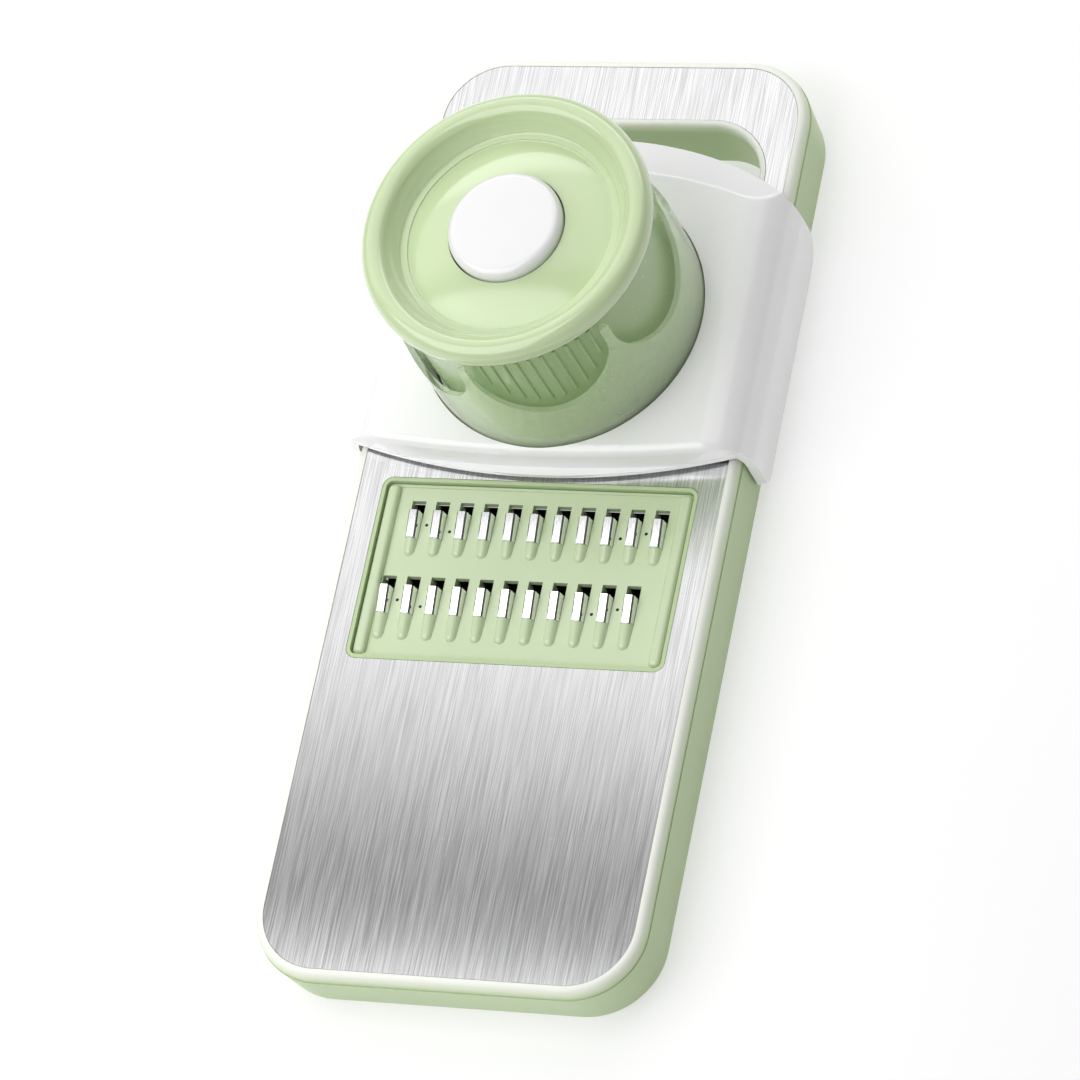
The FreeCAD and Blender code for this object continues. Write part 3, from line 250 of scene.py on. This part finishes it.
def metal(name, colour, rough, size, stretch, depth=0.01):
    """Metal with fine marks left by its finishing."""
    g = Graph(name)
    mark = g.noise(size, 3.0, stretch)
    stain = g.noise(6 * MM, 2.0)
    base = g.ramp(mark, (0.35, shade(colour, 0.9)), (0.65, shade(colour, 1.05)))
    g.set(Base_Color=g.mix(g.span(stain, 0.35, 0.7, 0.0, 0.2), base, shade(colour, 0.9)), Metallic=1.0)
    g.set(Roughness=g.span(mark, 0.3, 0.7, rough * 0.75, rough * 1.3))
    g.set(Normal=g.bump(mark, depth * MM, 0.5))
    return g


def rubber(name, colour):
    g = Graph(name)
    speck = g.noise(0.8 * MM, 3.0)
    dust = g.noise(4 * MM, 3.0)
    base = g.ramp(speck, (0.3, shade(colour, 0.85)), (0.7, shade(colour, 1.1)))
    g.set(Base_Color=g.mix(g.span(dust, 0.4, 0.7, 0.0, 0.3), base, shade(WHITE, 0.6)))
    g.set(Roughness=g.span(dust, 0.3, 0.7, 0.62, 0.8), Normal=g.bump(speck, 0.05 * MM, 0.6))
    return g


# ---------------------------------------------------------------- which node wears what
def finishes():
    return {
        # the board's rim gets a painted highlight
        "board_green": moulded(
            "board_green", BOARD_LEAF, gloss=0.32, texture=0.01, coat=0.0, painted_light=painted_rim_highlight, ior=1.36),
        "panel_steel": brushed_panel(),
        "cover_green": moulded("cover_green", LEAF_DEEP, gloss=0.42, texture=0.06, coat=0.0),
        "screw_steel": metal("screw_steel", (0.6, 0.6, 0.61), 0.3, 0.4 * MM, (1.0, 1.0, 1.0)),
        "foot_rubber": rubber("foot_rubber", (0.32, 0.34, 0.31)),
        "tray_green": moulded("tray_green", LEAF, gloss=0.16, texture=0.01, coat=0.5),
        "blade_steel": metal("blade_steel", (0.93, 0.93, 0.94), 0.09, 0.3 * MM, (1.0, 12.0, 1.0), 0.0008),
        "clamp_green": moulded("clamp_green", LEAF_DEEP, gloss=0.4, texture=0.05, coat=0.0),
        "pin_steel": metal("pin_steel", (0.05, 0.05, 0.055), 0.35, 0.2 * MM, (1.0, 1.0, 1.0)),
        "guard_white": moulded("guard_white", GUARD_WHITE, gloss=0.16, texture=0.012, coat=0.5),
        "runner_white": moulded("runner_white", (0.8, 0.8, 0.78), gloss=0.45, texture=0.04, coat=0.0),
        "sleeve_frosted": frosted(),
        "ring_white": moulded("ring_white", (0.8, 0.8, 0.8), gloss=0.4, texture=0.04, coat=0.0),
        "barrel_green": moulded("barrel_green", (0.35, 0.49, 0.23), gloss=0.24, texture=0.01, coat=0.25),
        "knob_green": moulded("knob_green", (0.54, 0.66, 0.39), gloss=0.18, texture=0.008, coat=0.8),
        "plate_green": moulded("plate_green", LEAF_DEEP, gloss=0.35, texture=0.04, coat=0.0),
        "spike_steel": metal("spike_steel", (0.78, 0.78, 0.79), 0.12, 0.3 * MM, (1.0, 1.0, 8.0)),
        "button_white": moulded("button_white", (0.82, 0.82, 0.825), gloss=0.14, texture=0.008, coat=0.5),
        "stem_white": moulded("stem_white", (0.82, 0.82, 0.82), gloss=0.36, texture=0.03, coat=0.0),
        "ejector_white": moulded("ejector_white", (0.82, 0.83, 0.81), gloss=0.34, texture=0.03, coat=0.0),
        "spring_steel": metal("spring_steel", (0.55, 0.55, 0.56), 0.3, 0.3 * MM, (1.0, 1.0, 1.0)),
    }


def dress():
    """Give every CAD node the finish of its material slot in the record."""
    made = finishes()
    for part in frame["record"]["subparts"]:
        node = frame["nodes"][part["node"]]
        node.data.materials.clear()
        node.data.materials.append(made[part["material_slot"]].material)


# ---------------------------------------------------------------- studio
def direction(azimuth, elevation):
    """Unit vector from the object towards a place; azimuth 0 is -Y, 90 is +X."""
    a, e = math.radians(azimuth), math.radians(elevation)
    return Vector((math.sin(a) * math.cos(e), -math.cos(a) * math.cos(e), math.sin(e)))


def camera():
    data = bpy.data.cameras.new("camera")
    data.sensor_width = 36.0
    data.lens = LENS
    data.clip_start, data.clip_end = 0.05, 20.0
    eye = bpy.data.objects.new("camera", data)
    bpy.context.scene.collection.objects.link(eye)
    back = direction(AZIMUTH, ELEVATION)
    place = Matrix.Translation(PANEL_CENTRE + AIM + back * DISTANCE)
    turn = (-back).to_track_quat("-Z", "Y").to_matrix().to_4x4()
    eye.matrix_world = place @ turn @ Matrix.Rotation(math.radians(ROLL), 4, "Z")
    bpy.context.scene.camera = eye


def sheet(name, low, high, place, face_down=False):
    """Flat rectangle from low to high about a place, with its own origin in its middle."""
    half_x, half_y = (high[0] - low[0]) / 2, (high[1] - low[1]) / 2
    signs = ((-1, -1), (1, -1), (1, 1), (-1, 1))
    if face_down:
        signs = ((-1, 1), (1, 1), (1, -1), (-1, -1))
    mesh = bpy.data.meshes.new(name)
    mesh.from_pydata([(sx * half_x, sy * half_y, 0.0) for sx, sy in signs], [], [(0, 1, 2, 3)])
    item = bpy.data.objects.new(name, mesh)
    bpy.context.scene.collection.objects.link(item)
    item.location = place + Vector((low[0] + half_x, low[1] + half_y, 0.0))
    return item


def card(name, low, high, brightness, fade):
    """Glowing card over the board, facing down, that fades out towards its edges."""
    board = sheet(name, low, high, PANEL_CENTRE + Vector((0.0, 0.0, CARD_HEIGHT)), True)
    board.visible_camera = False
    board.visible_shadow = False
    half_x, half_y = (high[0] - low[0]) / 2, (high[1] - low[1]) / 2
    g = Graph(name)
    x, y, _ = g.axes()
    in_x = g.span(g.maths("ABSOLUTE", x), half_x - fade, half_x, 1.0, 0.0)
    in_y = g.span(g.maths("ABSOLUTE", y), half_y - fade, half_y, 1.0, 0.0)
    glow = g.add("ShaderNodeEmission")
    clear = g.add("ShaderNodeBsdfTransparent")
    both = g.add("ShaderNodeAddShader")
    g.link(g.maths("MULTIPLY", g.maths("MULTIPLY", in_x, in_y), brightness), glow.inputs["Strength"])
    g.link(glow.outputs[0], both.inputs[0])
    g.link(clear.outputs[0], both.inputs[1])
    g.link(both.outputs[0], g.output.inputs["Surface"])
    board.data.materials.append(g.material)


def sky(base, *lobes):
    """Light from all round, brighter towards some sides: lobes of (direction, strength, sharpness)."""
    world = bpy.data.worlds.new("studio")
    world.use_nodes = True
    tree = world.node_tree
    place = tree.nodes.new("ShaderNodeTexCoord").outputs["Generated"]
    total = None
    for towards, strength, sharpness in lobes:
        dot = tree.nodes.new("ShaderNodeVectorMath")
        dot.operation = "DOT_PRODUCT"
        dot.inputs[1].default_value = Vector(towards).normalized()
        tree.links.new(place, dot.inputs[0])
        value = dot.outputs["Value"]
        added = base if total is None else total
        steps = (("MAXIMUM", 0.0), ("POWER", sharpness), ("MULTIPLY", strength), ("ADD", added))
        for operation, second in steps:
            step = tree.nodes.new("ShaderNodeMath")
            step.operation = operation
            tree.links.new(value, step.inputs[0])
            if isinstance(second, float):
                step.inputs[1].default_value = second
            else:
                tree.links.new(second, step.inputs[1])
            value = step.outputs[0]
        total = value
    tree.nodes["Background"].inputs["Color"].default_value = (1.0, 1.0, 1.0, 1.0)
    tree.links.new(total, tree.nodes["Background"].inputs["Strength"])
    bpy.context.scene.world = world


def floor():
    corner = Vector((FLOOR_REACH, FLOOR_REACH))
    ground = sheet("floor", -corner, corner, Vector((0.0, 0.0, 0.0)))
    g = Graph("floor")
    g.set(Roughness=0.9, Specular_IOR_Level=0.0)
    g.set(Base_Color=shade(WHITE, FLOOR_GREY), Emission_Color=WHITE, Emission_Strength=FLOOR_GLOW)
    ground.data.materials.append(g.material)


def painted_shade_flag():
    """Black sheet of painted shade on the floor under the blade chamber, so the blade slots read black
    instead of showing the floor's glow.
    """
    low, high = (-TRAY_HIGH.x, TRAY_LOW.y), (TRAY_HIGH.x, TRAY_HIGH.y)
    black = sheet("painted_shade_flag", low, high, Vector((0.0, 0.0, PAINTED_SHADE_LIFT)))
    g = Graph("painted_shade_flag")
    g.set(Base_Color=shade(WHITE, 0.02), Roughness=0.9, Specular_IOR_Level=0.0)
    black.data.materials.append(g.material)


def studio():
    bpy.context.scene.view_settings.view_transform = "Standard"
    sky(SKY_BASE, *SKY_LOBES)
    card("key_card", (-0.70, -0.70), (0.10, 0.073), brightness=2.4, fade=0.03)
    card("back_card", (-1.10, 0.10), (0.50, 0.74), brightness=1.05, fade=0.10)
    card("rear_card", (-1.20, 0.66), (0.70, 1.40), brightness=2.4, fade=0.12)
    floor()
    painted_shade_flag()


dress()
camera()
studio()
